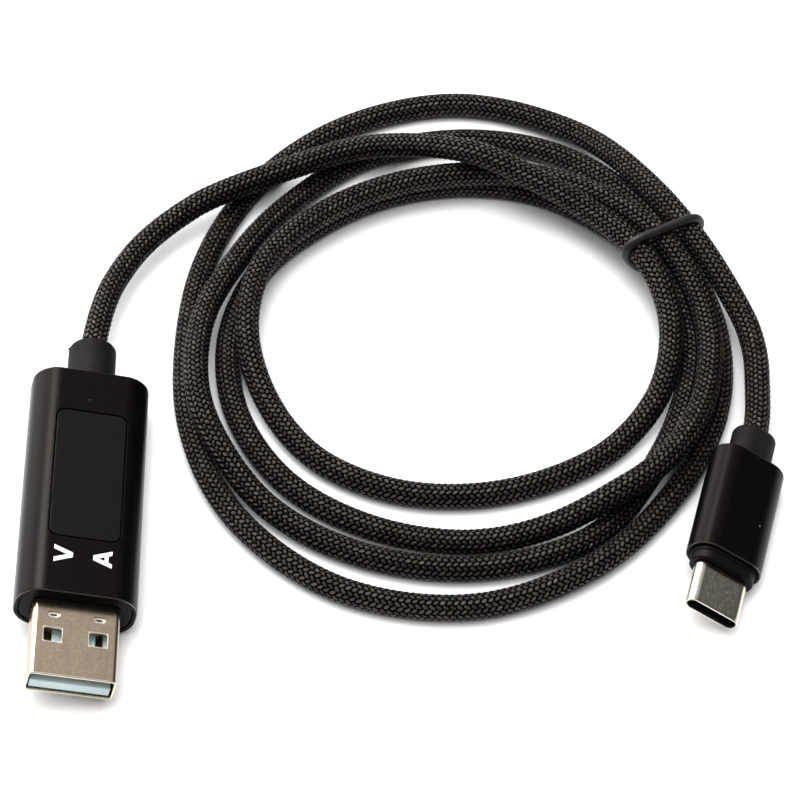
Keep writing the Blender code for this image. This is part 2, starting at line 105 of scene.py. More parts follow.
def soft_light(name, place, target, size, power, lit=True, mirrored=True):
    lamp = bpy.data.lights.new(name, "AREA")
    lamp.shape = "RECTANGLE"
    lamp.size, lamp.size_y = size
    lamp.energy = power
    made = bpy.data.objects.new(name, lamp)
    made.location = place
    made.rotation_euler = (Vector(target) - Vector(place)).to_track_quat("-Z", "Y").to_euler()
    made.visible_diffuse, made.visible_glossy = lit, mirrored
    scene.collection.objects.link(made)


soft_light("fill", (0.05, 0.03, 1.2), (0.05, 0.03, 0.0), (1.7, 1.7), 27.0, mirrored=False)
soft_light("overhead", (0.0, 0.05, 0.75), (0.05, 0.03, 0.0), (0.3, 0.3), 2.0, mirrored=False)
soft_light("far_sparkle", (-0.17, 0.35, 0.63), (0.05, 0.03, 0.0), (0.34, 0.24), 6.0, lit=False)
soft_light("left_window", (-0.44, 0.50, 0.22), (0.03, 0.02, 0.0), (0.60, 0.50), 3.6)


# ------------------------------------------------------------------ the braided cord
# A black nylon braid over the cord's jacket, 3.8 mm across. Sixteen columns of short yarn floats run along
# it, and they lean one way in one column and the other way in the next. It leaves the meter, winds a little
# over four loose turns clockwise and ends in the USB-C plug.

CORD = 3.8
METER_LEAN, METER_HEIGHT = 14.4, 5.67
RELIEF_END = 28.7
PLUG_AT, PLUG_LEAN, PLUG_TURN = (88.5, -10.7, 4.4), 29.0, -15.5
COIL_CENTRE = (55.0, 34.0)
LEAD = ((0.0, 25.3, 5.7), (0.0, 28.7, 5.7), (0.2, 31.0, 5.7), (0.5, 33.5, 5.6), (1.1, 37.3, 5.4),
        (2.1, 41.2, 5.2), (3.6, 44.9, 5.0), (5.4, 48.3, 4.9), (7.6, 51.3, 4.9), (10.1, 54.0, 4.9),
        (12.6, 56.2, 5.0), (15.4, 58.2, 5.2))
# Each turn is a list of radius and height, one for each sixteenth of a circle.
TURNS = (
    ((41.3, 5.5), (37.4, 5.6), (30.5, 8.9), (27.3, 8.2), (27.4, 6.8), (28.5, 6.7), (29.5, 5.0),
     (29.7, 3.4), (29.0, 2.0), (28.5, 1.9), (29.0, 1.9), (30.3, 1.9), (31.6, 1.9), (32.0, 2.4)),
    ((32.8, 4.6), (32.5, 5.5), (30.3, 5.6), (29.1, 5.5), (29.0, 5.5), (30.3, 5.7), (31.3, 6.5),
     (32.8, 6.7), (34.7, 5.3), (36.2, 5.1), (37.4, 5.2), (37.2, 3.4), (37.2, 2.0), (37.4, 1.9),
     (37.6, 1.9), (36.8, 1.9)),
    ((35.4, 1.9), (33.6, 1.9), (31.3, 1.9), (30.3, 1.9), (30.0, 1.9), (30.1, 1.9), (29.5, 2.9),
     (30.8, 3.5), (32.3, 2.1), (33.2, 1.9), (35.5, 1.9), (39.9, 2.2), (41.5, 2.0), (42.2, 1.9),
     (42.6, 2.4), (42.0, 5.3)),
    ((39.4, 5.2), (36.8, 4.4), (37.4, 2.1), (38.8, 1.9), (39.2, 1.9), (38.8, 1.9), (36.5, 2.9),
     (35.0, 3.5), (36.4, 2.1), (38.2, 1.9), (40.4, 1.9), (44.4, 2.2), (47.9, 2.0), (48.7, 1.9),
     (46.9, 1.9), (43.8, 1.9)),
    ((41.6, 1.9), (42.2, 1.9), (44.1, 1.9), (46.1, 1.9), (46.8, 1.9), (43.8, 2.6), (38.0, 6.2),
     (37.0, 6.7), (40.4, 5.0)),
)
FIRST_DIRECTION, TURN_STEP = 2, 22.5
TAIL = ((96.2, 30.3, 4.7), (96.5, 27.0, 4.5), (96.4, 24.0, 4.4), (96.2, 20.8, 4.4), (95.9, 17.2, 4.4))
PLUG_ENTRY = (25.2, 22.1)


def placed(place, lean, turn=0.0):
    """The frame of a piece, in mm, that leans about its long axis, Y, and is turned about Z."""
    return (Matrix.Translation(Vector(place) * MM) @ Matrix.Rotation(math.radians(turn), 4, "Z")
            @ Matrix.Rotation(math.radians(lean), 4, "Y") @ Matrix.Scale(MM, 4))


METER = placed((0, 0, METER_HEIGHT), METER_LEAN)
PLUG = placed(PLUG_AT, PLUG_LEAN, PLUG_TURN)


def smooth_through(points, spacing):
    """Evenly spaced points of a centripetal Catmull-Rom curve."""
    points = [np.array(point, float) for point in points]
    ends = [2 * points[0] - points[1], *points, 2 * points[-1] - points[-2]]
    curve = []
    for a, b, c, d in zip(ends, ends[1:], ends[2:], ends[3:]):
        t1 = math.sqrt(np.linalg.norm(b - a))
        t2 = t1 + math.sqrt(np.linalg.norm(c - b))
        t3 = t2 + math.sqrt(np.linalg.norm(d - c))
        for t in np.linspace(t1, t2, 24, endpoint=False):
            ab = a + (b - a) * t / t1
            bc = b + (c - b) * (t - t1) / (t2 - t1)
            cd = c + (d - c) * (t - t2) / (t3 - t2)
            abc = ab + (bc - ab) * t / t2
            bcd = bc + (cd - bc) * (t - t1) / (t3 - t1)
            curve.append(abc + (bcd - abc) * (t - t1) / (t2 - t1))
    curve.append(points[-1])
    return evenly(np.array(curve), spacing)


def evenly(line, spacing):
    run = np.concatenate(([0], np.cumsum(np.linalg.norm(np.diff(line, axis=0), axis=1))))
    marks = np.linspace(0, run[-1], int(round(run[-1] / spacing)) + 1)
    return np.stack([np.interp(marks, run, line[:, axis]) for axis in range(3)], axis=1)


def eased(line, rounds=120, stiffness=0.3, held=8):
    """Strands nearer than a diameter push each other apart, and stiffness spreads each push."""
    near, far = np.triu_indices(len(line), 5)
    close = np.linalg.norm(line[near] - line[far], axis=1) < 2.2 * CORD
    near, far = near[close], far[close]
    shift = np.zeros_like(line)
    for _ in range(rounds):
        gap = (line + shift)[near] - (line + shift)[far]
        reach = np.linalg.norm(gap, axis=1)
        tight = reach < CORD
        push = gap[tight] * ((CORD - reach[tight]) / reach[tight] / 2)[:, None]
        move = np.zeros_like(line)
        count = np.zeros(len(line))
        for ends, way in ((near[tight], 1), (far[tight], -1)):
            np.add.at(move, ends, way * push)
            np.add.at(count, ends, 1)
        shift += move / np.maximum(count, 1)[:, None]
        shift[1:-1] += stiffness * ((shift[:-2] + shift[2:]) / 2 - shift[1:-1])
        shift[:, 2] = np.maximum(shift[:, 2], CORD / 2 - line[:, 2])
        shift[:held] = shift[-held:] = 0
    return line + shift


def cord_route():
    cx, cy = COIL_CENTRE
    points = list(LEAD)
    pairs = [pair for turn in TURNS for pair in turn]
    for number, (radius, height) in enumerate(pairs, FIRST_DIRECTION):
        angle = math.radians(TURN_STEP * number)
        points.append((cx - radius * math.cos(angle), cy + radius * math.sin(angle), height))
    points += TAIL
    points += [tuple(PLUG @ Vector((0, along, 0)) / MM) for along in PLUG_ENTRY]
    line = smooth_through(points, 1.6)
    line[:, 2] = np.maximum(line[:, 2], CORD / 2)
    return eased(line)


CORD_LINE = cord_route()
COLUMNS, FLOAT_PITCH, FLOAT_SLANT = 16, 0.94, math.radians(38)
FLOAT_LENGTH, FLOAT_WIDTH, FLOAT_RISE = 0.56, 0.31, 0.3
ROUND_STEPS, RINGS_PER_FLOAT = 80, 5
FLOAT_FLATNESS, FLOAT_ROCK = 0.34, 0.16


def travelling_frames(line):
    """Side and up vectors along a line, carried without twist."""
    ahead = np.gradient(line, axis=0)
    ahead /= np.linalg.norm(ahead, axis=1)[:, None]
    side = np.cross(ahead[0], (0, 0, 1.0))
    sides = []
    for direction in ahead:
        side = side - direction * side.dot(direction)
        side /= np.linalg.norm(side)
        sides.append(side)
    sides = np.array(sides)
    return sides, np.cross(sides, ahead)


def braid_relief(along, around):
    """Height of the yarn floats, 0 to 1, where a point lies across its float, and each float's own shade."""
    column_width = math.pi * CORD / COLUMNS
    column = around / (2 * math.pi) * COLUMNS
    best = np.full(np.broadcast(along, around).shape, -1.0)
    across, shade = np.zeros_like(best), np.zeros_like(best)
    for shift in (-1, 0, 1):
        number = np.floor(column) + shift
        lean = np.where(number % 2 == 0, 1.0, -1.0)
        start = (number % 2) * 0.5
        sideways = (column - number - 0.5) * column_width
        nearest = np.round(along / FLOAT_PITCH - start)
        for step in (-1, 0, 1):
            lengthways = along - (nearest + start + step) * FLOAT_PITCH
            a = lengthways * math.cos(FLOAT_SLANT) + lean * sideways * math.sin(FLOAT_SLANT)
            b = lean * sideways * math.cos(FLOAT_SLANT) - lengthways * math.sin(FLOAT_SLANT)
            height = 1 - (a / FLOAT_LENGTH) ** 2 - (b / FLOAT_WIDTH) ** 2
            higher = height > best
            best = np.where(higher, height, best)
            across = np.where(higher, b / FLOAT_WIDTH, across)
            scattered = np.sin((number % COLUMNS) * 12.99 + (nearest + step) * 78.23) * 43758.5
            shade = np.where(higher, scattered - np.floor(scattered), shade)
    rocked = (7.31 * shade) % 1.0 - 0.5
    top = 0.84 + 0.08 * shade + FLOAT_ROCK * rocked * across
    return np.clip(best, 0.0, 1.0) ** FLOAT_FLATNESS * top, across, shade


def grid_mesh(name, places, capped):
    """A tube mesh from rings of points, written in bulk because it is large."""
    rings, sides = places.shape[:2]
    index = np.arange(rings * sides).reshape(rings, sides)
    here, there = index[:-1], index[1:]
    faces = np.stack([here, there, np.roll(there, -1, 1), np.roll(here, -1, 1)], axis=-1).reshape(-1, 4)
    mesh = bpy.data.meshes.new(name)
    mesh.vertices.add(rings * sides)
    mesh.vertices.foreach_set("co", places.reshape(-1).astype(np.float32))
    caps = [index[0], index[-1][::-1]] if capped else []
    corners = np.concatenate([faces.reshape(-1), *caps])
    starts = np.concatenate([np.arange(len(faces)) * 4, len(faces) * 4 + np.arange(len(caps)) * sides])
    mesh.loops.add(len(corners))
    mesh.loops.foreach_set("vertex_index", corners.astype(np.int32))
    mesh.polygons.add(len(starts))
    mesh.polygons.foreach_set("loop_start", starts.astype(np.int32))
    mesh.update(calc_edges=True)
    mesh.validate()
    mesh.shade_smooth()
    return mesh


def wrap_in_rows(mesh, rings, rows=9):
    """A map that lays the cord's skin in rows side by side, so that a bake wastes little of its image."""
    ring, side = np.divmod(np.arange((rings - 1) * ROUND_STEPS), ROUND_STEPS)
    per_row = math.ceil((rings - 1) / rows)
    row = ring // per_row
    u = (ring - row * per_row)[:, None] + np.array([0, 1, 1, 0])
    v = side[:, None] + np.array([0, 0, 1, 1])
    v = (row[:, None] + 0.02 + 0.96 * v / ROUND_STEPS) / rows
    flat = np.stack([u / per_row, v], axis=-1).reshape(-1, 2)
    every = np.zeros((len(mesh.loops), 2))
    every[:len(flat)] = flat
    mesh.uv_layers.new(name="OFBake").uv.foreach_set("vector", every.reshape(-1).astype(np.float32))


def braided_cord(name, line):
    fine = evenly(line, FLOAT_PITCH / RINGS_PER_FLOAT)
    sides, ups = travelling_frames(fine)
    step = np.linalg.norm(np.diff(fine, axis=0), axis=1).mean()
    along = (np.arange(len(fine)) * step)[:, None]
    around = (np.arange(ROUND_STEPS) * 2 * math.pi / ROUND_STEPS)[None, :]
    rise, across, shade = braid_relief(along, around)
    radius = CORD / 2 - FLOAT_RISE * (1 - rise)
    places = fine[:, None, :] + radius[..., None] * (
        np.cos(around)[..., None] * sides[:, None, :] + np.sin(around)[..., None] * ups[:, None, :])
    mesh = grid_mesh(name, places * MM, capped=True)
    wrap_in_rows(mesh, len(fine))
    for label, values in (("rise", rise), ("across", across), ("shade", shade)):
        layer = mesh.attributes.new(label, "FLOAT", "POINT")
        layer.data.foreach_set("value", values.reshape(-1).astype(np.float32))
    made = bpy.data.objects.new(name, mesh)
    scene.collection.objects.link(made)
    return made, fine


class Value:
    """An output socket. Arithmetic on it adds Math nodes."""

    def __init__(self, recipe, socket):
        self.recipe, self.socket = recipe, socket

    def math(self, operation, *terms):
        return self.recipe.node("Math", {"operation": operation}, dict(enumerate(terms)))

    def __add__(self, other):
        return self.math("ADD", self, other)

    def __mul__(self, other):
        return self.math("MULTIPLY", self, other)

    def __sub__(self, other):
        return self.math("SUBTRACT", self, other)

    def __rsub__(self, other):
        return self.math("SUBTRACT", other, self)

    def __truediv__(self, other):
        return self.math("DIVIDE", self, other)

    def __abs__(self):
        return self.math("ABSOLUTE", self)

    def __pow__(self, other):
        return self.math("POWER", self, other)

    __radd__, __rmul__ = __add__, __mul__

    def between(self, low, high):
        """0 below low, 1 above high and smooth from one to the other."""
        inputs = {"Value": self, "From Min": low, "From Max": high}
        return self.recipe.node("MapRange", {"interpolation_type": "SMOOTHSTEP"}, inputs)


class Recipe:
    """A material made of nodes on one Principled shader."""

    def __init__(self, name, **fixed):
        self.made = bpy.data.materials.new(name)
        self.made.use_nodes = True
        self.tree = self.made.node_tree
        self.shader = self.tree.nodes["Principled BSDF"]
        self.places = self.node("TexCoord", output="Object")
        self.set(**fixed)

    def plug(self, socket, value):
        if isinstance(value, Value):
            self.tree.links.new(value.socket, socket)
        elif hasattr(value, "__len__") and len(socket.default_value) == 4:
            socket.default_value = (*value[:3], 1.0)
        else:
            socket.default_value = value

    def node(self, kind, settings=None, inputs=None, output=0):
        made = self.tree.nodes.new("ShaderNode" + kind)
        for setting, value in (settings or {}).items():
            setattr(made, setting, value)
        for label, value in (inputs or {}).items():
            self.plug(made.inputs[label], value)
        return Value(self, made.outputs[output])

    def set(self, **sockets):
        for label, value in sockets.items():
            self.plug(self.shader.inputs[label.replace("_", " ").title().replace("Ior", "IOR")], value)

    def blend(self, share, first, second):
        """A colour between two colours."""
        return self.node("Mix", {"data_type": "RGBA"}, {0: share, 6: first, 7: second}, 2)

    def noise(self, scale, detail=3.0, rough=0.55, stretch=None):
        where = self.places
        if stretch:
            where = self.node("Mapping", None, {"Vector": where, "Scale": stretch})
        inputs = {"Vector": where, "Scale": scale, "Detail": detail, "Roughness": rough}
        return self.node("TexNoise", None, inputs)

    def cells(self, scale):
        return self.node("TexVoronoi", None, {"Vector": self.places, "Scale": scale})

    def larger(self, one, other):
        return self.node("Math", {"operation": "MAXIMUM"}, {0: one, 1: other})

    def measured(self, place, axis):
        """How far a point lies from the origin of a piece's own frame, along one of its axes, in mm."""
        towards = (place.to_3x3() @ Vector(axis)).normalized()
        reach = self.node("VectorMath", {"operation": "DOT_PRODUCT"}, {0: self.places, 1: towards}, "Value")
        return (reach - place.translation.dot(towards)) / MM

    def stored(self, label):
        """A number kept on the mesh's points."""
        return self.node("Attribute", {"attribute_name": label}, None, "Fac")

    def beside(self, other, share):
        """The main shader shows by that share, and the other one by the rest."""
        main = Value(self, self.shader.outputs[0])
        mixed = self.node("MixShader", None, {0: share, 1: other, 2: main})
        self.plug(self.tree.nodes["Material Output"].inputs["Surface"], mixed)

    def bump(self, height, depth):
        """Height in the range 0 to 1 becomes relief of that depth in mm."""
        inputs = {"Height": height, "Distance": depth * MM, "Strength": 1.0}
        self.set(normal=self.node("Bump", None, inputs))


def nylon_braid():
    """Glossy yarn on the floats, with pale specks painted on a few as highlights, and a black shader
    without gloss in the gaps between them as painted shade.
    """
    look = Recipe("nylon_braid", specular_ior_level=1.0, specular_tint=(1.0, 0.87, 0.82))
    rise, shade = look.stored("rise"), look.stored("shade")
    yarn = look.noise(2600, 2.0)
    filaments = look.stored("across").math("SINE", look.stored("across") * 14.0)
    # Pale specks on some floats: painted highlight in the base colour, for light glancing off the filaments.
    painted_glints = look.noise(5200, 1.0).between(0.5, 0.68) * shade
    look.set(base_color=look.blend(painted_glints, (0.0016, 0.0011, 0.0010), (0.040, 0.031, 0.027)),
             roughness=0.46 - 0.14 * shade + 0.2 * (yarn - 0.5))
    look.bump(0.5 * filaments + 0.8 * yarn, 0.04)
    # The gaps between the floats take a near black shader with almost no gloss: painted shade in the
    # crevices.
    gaps = look.node("BsdfPrincipled", None, {"Base Color": (0.0003, 0.0002, 0.0002), "Roughness": 1.0,
                                              "Specular IOR Level": 0.04})
    look.beside(gaps, rise.between(0.4, 0.78) * (0.66 + 0.34 * shade))
    return look.made


def finish(piece, look, replaced=()):
    """What every piece needs: its finish, the body it rides on, and the plain solid it stands for."""
    piece.data.materials.clear()
    piece.data.materials.append(look)
    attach(piece, "root")
    if replaced:
        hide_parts(*replaced)
    return piece


cord, cord_path = braided_cord("braided_cord", CORD_LINE)
finish(cord, nylon_braid(), ("cord_lead_meter", "cord_coil", "cord_lead_plug"))


# ------------------------------------------------------------------ the rubber tie
# A moulded rubber ring, 1.45 mm thick, stretched round the strands on the plug's side of the coil. It is
# oval because the strands lie in two layers.

TIE_SECTION, TIE_DIRECTION, TIE_BITE = 1.45, 153.4, 0.4


def tie_line(spacing=0.35):
    """The closed line round every strand that crosses the tie's plane, in mm."""
    angle = math.radians(TIE_DIRECTION)
    out = np.array((-math.cos(angle), math.sin(angle)))
    onward = np.array((math.sin(angle), math.cos(angle)))
    from_centre = CORD_LINE[:, :2] - COIL_CENTRE
    run, radius = from_centre @ onward, from_centre @ out
    strands = []
    for i in np.flatnonzero((run[:-1] * run[1:] < 0) & (radius[1:] > 0)):
        share = run[i] / (run[i] - run[i + 1])
        strands.append((radius[i] + (radius[i + 1] - radius[i]) * share,
                        CORD_LINE[i, 2] + (CORD_LINE[i + 1, 2] - CORD_LINE[i, 2]) * share))
    strands = np.array(strands)
    reach = CORD / 2 + TIE_SECTION / 2 - TIE_BITE
    hull = []
    for turn in np.linspace(0, 2 * math.pi, 241):
        towards = np.array((math.cos(turn), math.sin(turn)))
        hull.append((*(strands[np.argmax(strands @ towards)] + reach * towards), 0.0))
    ring = evenly(np.array(hull), spacing)[:-1, :2]
    for _ in range(14):
        ring += 0.5 * ((np.roll(ring, 1, 0) + np.roll(ring, -1, 0)) / 2 - ring)
    ring[:, 1] = np.maximum(ring[:, 1], TIE_SECTION / 2)
    return [Vector((*(COIL_CENTRE + out * radius), height)) for radius, height in ring]


def ring_of_rubber(name, line, thickness, sides=20):
    shape = bmesh.new()
    rows = []
    normal = (line[1] - line[0]).cross(line[len(line) // 4] - line[0]).normalized()
    for i, point in enumerate(line):
        ahead = (line[(i + 1) % len(line)] - line[i - 1]).normalized()
        outward = ahead.cross(normal)
        row = []
        for side in range(sides):
            turn = 2 * math.pi * side / sides
            offset = outward * math.cos(turn) + normal * math.sin(turn)
            row.append(shape.verts.new((point + offset * thickness / 2) * MM))
        rows.append(row)
    for near, far in zip(rows, rows[1:] + rows[:1]):
        for i in range(sides):
            j = (i + 1) % sides
            shape.faces.new((near[i], near[j], far[j], far[i]))
    return piece_of(name, shape)


def piece_of(name, shape, smooth_under=40):
    """An object made from a bmesh, smooth except at edges sharper than the given angle."""
    bmesh.ops.recalc_face_normals(shape, faces=shape.faces)
    mesh = bpy.data.meshes.new(name)
    shape.to_mesh(mesh)
    shape.free()
    made = bpy.data.objects.new(name, mesh)
    scene.collection.objects.link(made)
    return smoothed(made, smooth_under)


def smoothed(piece, under):
    """Smooth shading that keeps the large flats flat."""
    piece.data.shade_smooth()
    piece.data.set_sharp_from_angle(angle=math.radians(under))
    even = piece.modifiers.new("even", "WEIGHTED_NORMAL")
    even.keep_sharp, even.weight = True, 90
    return piece


def smooth_rubber():
    look = Recipe("smooth_rubber", specular_ior_level=0.3, specular_tint=(1.0, 0.92, 0.92))
    bloom = look.noise(420).between(0.35, 0.7)
    look.set(base_color=look.blend(bloom, (0.007, 0.0065, 0.0062), (0.012, 0.0112, 0.0108)),
             roughness=0.36 + 0.1 * look.noise(1500))
    look.bump(look.noise(2200), 0.01)
    return look.made


tie = ring_of_rubber("rubber_tie", tie_line(), TIE_SECTION)
finish(tie, smooth_rubber(), ("tie_ring",))


# ------------------------------------------------------------------ meter housing
# One extruded black anodised aluminium sleeve, 16.8 by 9 mm, with its corners well rounded and its ends
# rounded over. A fine bevel with a painted highlight runs round the front, and a window is milled in the
# top for the display.

SLEEVE_WIDTH, SLEEVE_DEPTH, SLEEVE_CORNER, SLEEVE_WALL = 16.8, 9.0, 3.8, 0.6
SLEEVE_FRONT, SLEEVE_REAR = -16.8, 21.7
WINDOW_WIDTH, WINDOW_LENGTH, WINDOW_THICKNESS, WINDOW_Y = 9.8, 21.6, 1.0, 3.3
WINDOW_CORNER, WINDOW_GAP, MILLED_TO = 1.2, 0.19, 10.0
REAR_OPENING, REAR_WALL = 7.2, 1.2
FRONT_ROUND, REAR_ROUND, SLEEVE_EDGE = 0.2, 0.5, 0.07


def rounded_loop(width, depth, corner, along, steps=14):
    """A rounded rectangle across Y, in mm. Every loop has the same count of points, so any two can join."""
    corner = min(corner, 0.495 * width, 0.495 * depth)
    points = []
    for quarter, (sx, sz) in enumerate(((1, 1), (-1, 1), (-1, -1), (1, -1))):
        for step in range(steps + 1):
            angle = math.pi / 2 * (quarter + step / steps)
            points.append(Vector((sx * (width / 2 - corner) + corner * math.cos(angle), along,
                                  sz * (depth / 2 - corner) + corner * math.sin(angle))))
    return points


def inset(size, by):
    """The width, depth and corner of a section that lies further in all round."""
    return size[0] - 2 * by, size[1] - 2 * by, size[2] - by


def lofted(name, place, sections, ring=False, steps=14, smooth_under=40):
    """A skin through sections of width, depth, corner and along. A ring closes on itself, as a wall does."""
    shape = bmesh.new()
    rows = []
    for section in sections:
        rows.append([shape.verts.new(place @ point) for point in rounded_loop(*section, steps=steps)])
    pairs = list(zip(rows, rows[1:]))
    if ring:
        pairs.append((rows[-1], rows[0]))
    else:
        shape.faces.new(rows[0])
        shape.faces.new(rows[-1])
    for near, far in pairs:
        for i in range(len(near)):
            j = (i + 1) % len(near)
            shape.faces.new((near[i], near[j], far[j], far[i]))
    return piece_of(name, shape, smooth_under)


def rolled_edge(width, depth, corner, along, radius, inward=1, steps=5):
    """Sections that round an end over. The end faces -Y where inward is 1 and +Y where it is -1."""
    rows = []
    for step in range(steps + 1):
        angle = math.pi / 2 * step / steps
        shrink = radius * (1 - math.sin(angle))
        rows.append((width - 2 * shrink, depth - 2 * shrink, max(corner - shrink, 0.05),
                     along + inward * radius * (1 - math.cos(angle))))
    return rows if inward == 1 else rows[::-1]


def remade(piece, smooth_under=40):
    """The piece with its modifiers applied."""
    graph = bpy.context.evaluated_depsgraph_get()
    mesh = bpy.data.meshes.new_from_object(piece.evaluated_get(graph))
    piece.modifiers.clear()
    piece.data = mesh
    return smoothed(piece, smooth_under)


def cut(piece, *cutters, smooth_under=40):
    piece.modifiers.clear()
    for cutter in cutters:
        step = piece.modifiers.new("cut", "BOOLEAN")
        step.operation, step.solver, step.object = "DIFFERENCE", "EXACT", cutter
    remade(piece, smooth_under)
    for cutter in cutters:
        bpy.data.objects.remove(cutter, do_unlink=True)
    return piece


def edged(piece, width, segments=3, above=40):
    """Every sharp edge is broken by a small round."""
    piece.modifiers.clear()
    step = piece.modifiers.new("edges", "BEVEL")
    step.width, step.segments, step.limit_method = width * MM, segments, "ANGLE"
    step.angle_limit = math.radians(above)
    step.use_clamp_overlap = True
    return remade(piece, above)


def upright(width, length, corner, low, high, y, place, name="cutter"):
    """A rounded plate lying in the piece's own XY plane."""
    turned = place @ Matrix.Translation((0, y, 0)) @ Matrix.Rotation(math.pi / 2, 4, "X")
    return lofted(name, turned, ((width, length, corner, low), (width, length, corner, high)), steps=8)


def black_anodising(name, place, front):
    """A narrow band round the front is metallic and smoother, a painted highlight along the bevel."""
    look = Recipe(name, specular_ior_level=0.09, specular_tint=(1.0, 0.83, 0.81))
    grain = look.noise(3800, 2.0)
    drawn = look.noise(700, stretch=(1.0, 0.04, 1.0)).between(0.3, 0.7)
    dust = 1 - look.cells(330).between(0.028, 0.05)
    sparse = look.noise(90).between(0.56, 0.6)
    along = look.measured(place, (0, 1, 0))
    # The band round the front rim is painted highlight: a metallic, smoother strip that makes the bevel
    # shine.
    rim = along.between(front + 0.005, front + 0.03) * (1 - along.between(front + 0.08, front + 0.13))
    colour = look.blend(drawn, (0.0009, 0.0007, 0.0007), (0.0014, 0.0010, 0.0010))
    colour = look.blend(rim, colour, (0.17, 0.16, 0.15))
    look.set(base_color=look.blend(dust * sparse * 0.55, colour, (0.30, 0.28, 0.26)),
             roughness=0.3 + 0.06 * grain + 0.25 * (dust * sparse) - 0.12 * rim, metallic=rim)
    look.bump(grain, 0.006)
    return look.made


outer = (SLEEVE_WIDTH, SLEEVE_DEPTH, SLEEVE_CORNER)
hollow = inset(outer, SLEEVE_WALL)
opening = (REAR_OPENING, REAR_OPENING, REAR_OPENING / 2)
sleeve = lofted("meter_housing", METER, (
    *rolled_edge(*outer, SLEEVE_FRONT, FRONT_ROUND),
    *rolled_edge(*outer, SLEEVE_REAR, REAR_ROUND, -1),
    (*opening, SLEEVE_REAR),
    (*opening, SLEEVE_REAR - REAR_WALL),
    (*hollow, SLEEVE_REAR - REAR_WALL),
    (*hollow, SLEEVE_FRONT),
), ring=True, steps=20)
milled = inset((WINDOW_WIDTH, WINDOW_LENGTH, WINDOW_CORNER), -WINDOW_GAP)
cut(sleeve, upright(*milled, 0.0, MILLED_TO, WINDOW_Y, METER))
edged(sleeve, SLEEVE_EDGE, 2, 50)
finish(sleeve, black_anodising("black_anodising", METER, SLEEVE_FRONT),
       ("meter_sleeve",))


# ------------------------------------------------------------------ display window and its two marks
# A pane of smoked acrylic, flush in the milled opening, hides the digits while the meter is off. V and A are
# printed in white ink on the housing before it, and read with the meter turned a quarter round.

WINDOW_TOP, WINDOW_EDGE = SLEEVE_DEPTH / 2, 0.1
MARK_Y, MARK_X, MARK_HEIGHT, INK_FOOT, INK_TOP = -10.6, 2.7, 2.6, 0.004, 0.02
V_OUTLINE = ((-1.4, 2.6), (-0.7, 2.6), (0.0, 0.78), (0.7, 2.6), (1.4, 2.6), (0.38, 0.0), (-0.38, 0.0))
A_HALF = ((0.0, 2.6), (0.38, 2.6), (1.4, 0.0), (0.72, 0.0), (0.52, 0.5), (0.0, 0.5), (0.0, 1.02),
          (0.32, 1.02), (0.0, 1.9))


def smoked_acrylic():
    look = Recipe("smoked_acrylic", specular_ior_level=0.115, specular_tint=(1.0, 0.86, 0.9))
    specks = 1 - look.cells(260).between(0.03, 0.05)
    some = look.noise(120).between(0.54, 0.6)
    look.set(base_color=look.blend(specks * some * 0.6, (0.0030, 0.0026, 0.0029), (0.35, 0.34, 0.33)),
             roughness=0.3 + 0.07 * look.noise(900) + 0.3 * (specks * some))
    look.bump(look.noise(1400, 2.0), 0.003)
    return look.made


def printed(name, outlines, x):
    """Letters of white ink. Their upper side points to -X, so they read along the meter."""
    shape = bmesh.new()
    for outline in outlines:
        corners = [(x - (up - MARK_HEIGHT / 2), MARK_Y + right, 0) for right, up in outline]
        shape.faces.new([shape.verts.new(corner) for corner in corners])
    bmesh.ops.remove_doubles(shape, verts=shape.verts, dist=1e-4)
    bmesh.ops.recalc_face_normals(shape, faces=shape.faces)
    raised = bmesh.ops.extrude_face_region(shape, geom=shape.faces[:])["geom"]
    moved = [item for item in raised if isinstance(item, bmesh.types.BMVert)]
    for vert in shape.verts:
        vert.co.z = WINDOW_TOP + (INK_TOP if vert in moved else INK_FOOT)
    shape.transform(METER)
    return piece_of(name, shape, 30)


def white_ink():
    look = Recipe("white_ink", specular_ior_level=0.4)
    thin = look.noise(2400).between(0.3, 0.75)
    look.set(base_color=look.blend(thin, (0.82, 0.82, 0.80), (0.92, 0.92, 0.91)), roughness=0.5 + 0.1 * thin)
    look.bump(look.noise(3000), 0.004)
    return look.made


window = upright(WINDOW_WIDTH, WINDOW_LENGTH, WINDOW_CORNER, WINDOW_TOP - WINDOW_THICKNESS, WINDOW_TOP,
                 WINDOW_Y, METER, "smoked_window")
edged(window, WINDOW_EDGE, 3, 60)
finish(window, smoked_acrylic(), ("display_window",))
WHITE_INK = white_ink()
finish(printed("volt_mark", (V_OUTLINE,), -MARK_X), WHITE_INK)
finish(printed("amp_mark", (A_HALF, [(-right, up) for right, up in A_HALF]), MARK_X), WHITE_INK)


# ------------------------------------------------------------------ nose insert
# The black moulding that closes the sleeve's front and grips the plug shell. It is pressed in from the front
# and sits a hair behind the sleeve's rim.

NOSE_FACE, NOSE_BACK, NOSE_ROUND = SLEEVE_FRONT + 0.14, SLEEVE_FRONT + 3.8, 0.12
NOSE_SIZE, NOSE_HOLE = (15.36, 7.56, 3.08), (12.2, 4.7, 0.8)


def moulded_black():
    look = Recipe("moulded_black", specular_ior_level=0.12, specular_tint=(1.0, 0.86, 0.84))
    texture = look.noise(2600, 2.0)
    look.set(base_color=look.blend(look.noise(300), (0.0022, 0.002, 0.002), (0.0036, 0.0033, 0.0032)),
             roughness=0.42 + 0.12 * texture)
    look.bump(texture, 0.012)
    return look.made


MOULDED_BLACK = moulded_black()
nose = lofted("nose_moulding", METER, (
    *rolled_edge(*NOSE_SIZE, NOSE_FACE, NOSE_ROUND, steps=3),
    (*NOSE_SIZE, NOSE_BACK),
    (*NOSE_HOLE, NOSE_BACK),
    (*NOSE_HOLE, NOSE_FACE),
), ring=True)
finish(nose, MOULDED_BLACK, ("nose_insert",))


# ------------------------------------------------------------------ USB-A shell
# Sheet, 0.3 mm, folded and plated with warm nickel. Two square latch holes go through the top and two
# through the bottom, and behind each hole lies a small pressed oval that holds the insulator.

